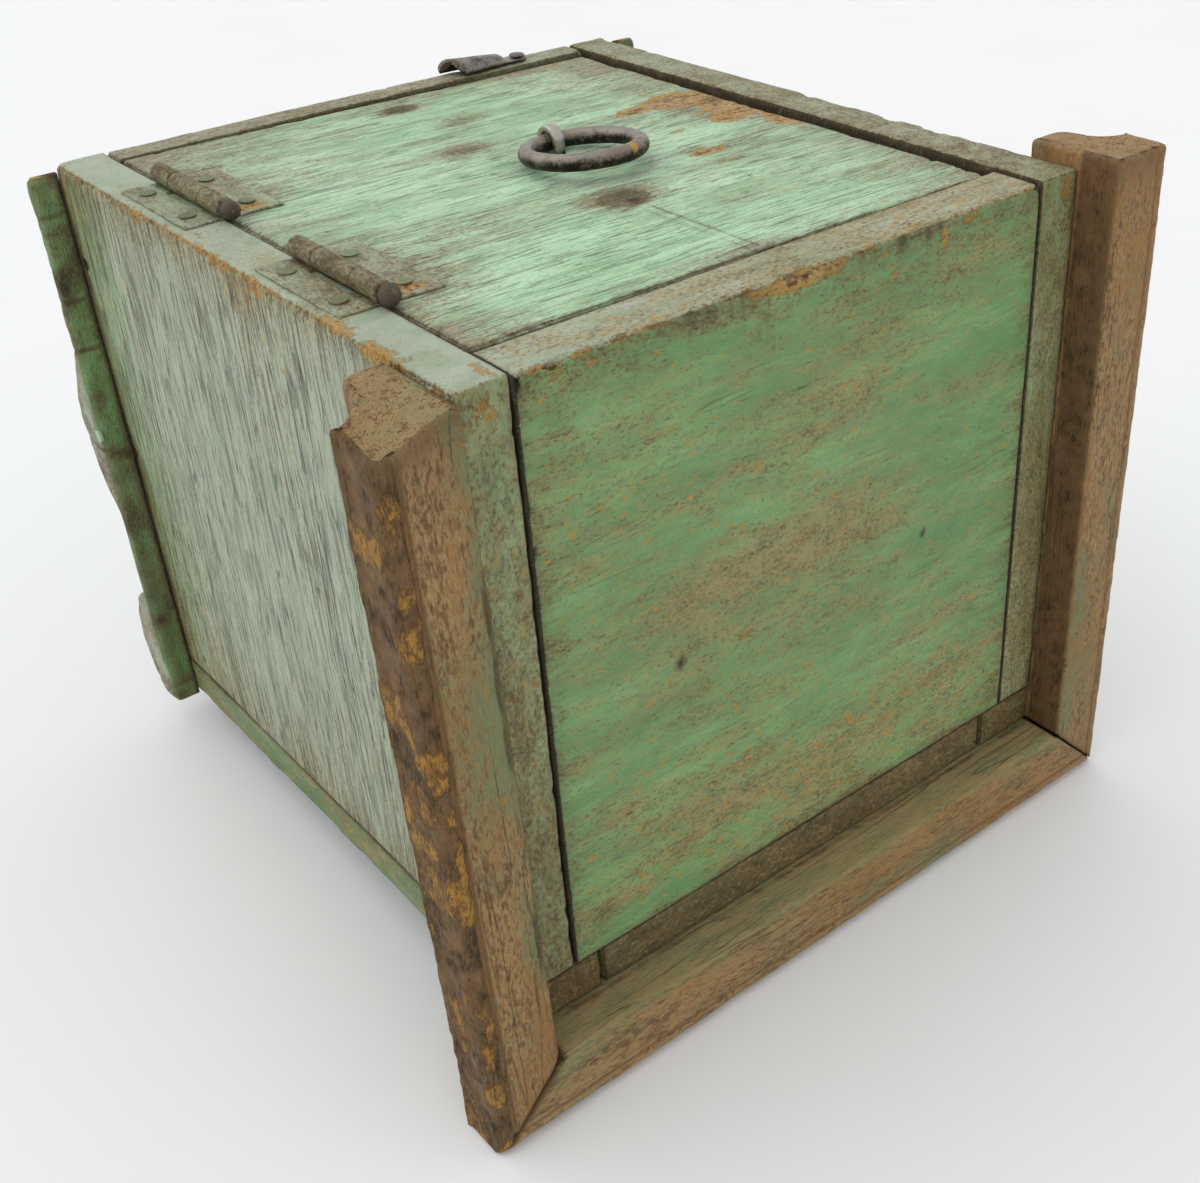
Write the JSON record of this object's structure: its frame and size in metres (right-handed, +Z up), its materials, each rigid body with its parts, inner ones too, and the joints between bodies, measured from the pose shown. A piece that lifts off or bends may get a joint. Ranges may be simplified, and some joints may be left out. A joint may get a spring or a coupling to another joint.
{
  "type": "display box",
  "caption": "Small painted wooden show case lying on its glazed front, with base moulding, lobed crest strips and a hinged rear door with ring pull and turn button.",
  "frame": {"origin": "under the middle of the bounding box, at the height of its lowest point, with the case lying on its glazed front as in the picture", "axes": "+Z up through the hinged door, +Y from the base moulding at the near end towards the crest at the far end, +X to the right across the case as seen from the near end"},
  "size_m": [0.232, 0.231, 0.205],
  "materials": {
    "painted_wood": "worn green paint over old wood",
    "bare_wood": "bare dark wood with traces of paint",
    "rusty_iron": "rusty and painted over",
    "dark_iron": "dark hand-worn iron",
    "window_glass": "clear old glass"
  },
  "bodies": {
    "case": {"left_side_board": "painted_wood", "right_side_board": "painted_wood", "near_end_board": "painted_wood", "far_end_board": "painted_wood", "front_stile_left": "painted_wood", "front_stile_right": "painted_wood", "front_rail_near": "painted_wood", "front_rail_far": "painted_wood", "window_glass": "window_glass", "glazing_bead_left": "bare_wood", "glazing_bead_right": "bare_wood", "glazing_bead_near": "bare_wood", "glazing_bead_far": "bare_wood", "base_moulding_left": "bare_wood", "base_moulding_front": "bare_wood", "base_moulding_right": "bare_wood", "crest_left": "painted_wood", "crest_front": "painted_wood", "crest_right": "painted_wood", "lid_stop": "bare_wood", "near_hinge_fixed_leaf": "rusty_iron", "near_hinge_pin": "dark_iron", "far_hinge_fixed_leaf": "rusty_iron", "far_hinge_pin": "dark_iron", "hinge_screws_fixed": "dark_iron", "turn_button_nail": "rusty_iron", "carcass_nails": "rusty_iron", "frame_nails": "rusty_iron", "moulding_nails": "rusty_iron", "crest_nails": "rusty_iron"},
    "lid": {"lid_board": "painted_wood", "near_hinge_lid_leaf": "rusty_iron", "far_hinge_lid_leaf": "rusty_iron", "hinge_screws_lid": "dark_iron", "ring_eye": "dark_iron"},
    "ring": {"pull_ring": "dark_iron"},
    "button": {"turn_button": "dark_iron"}
  },
  "joints": [
    {"name": "lid_hinge", "type": "hinge", "parent": "case", "child": "lid", "pos_m": [-0.0806, 0, 0.201], "axis": [0, -1, 0], "range_deg": [0, 170]},
    {"name": "ring_swing", "type": "hinge", "parent": "lid", "child": "ring", "pos_m": [0.00999, 0.011, 0.19996], "axis": [-1, 0, 0.0087], "range_deg": [-5, 167]},
    {"name": "button_turn", "type": "hinge", "parent": "case", "child": "button", "pos_m": [0.057, 0.0965, 0.198], "axis": [0, 0, 1], "range_deg": [-30, 100]}
  ]
}
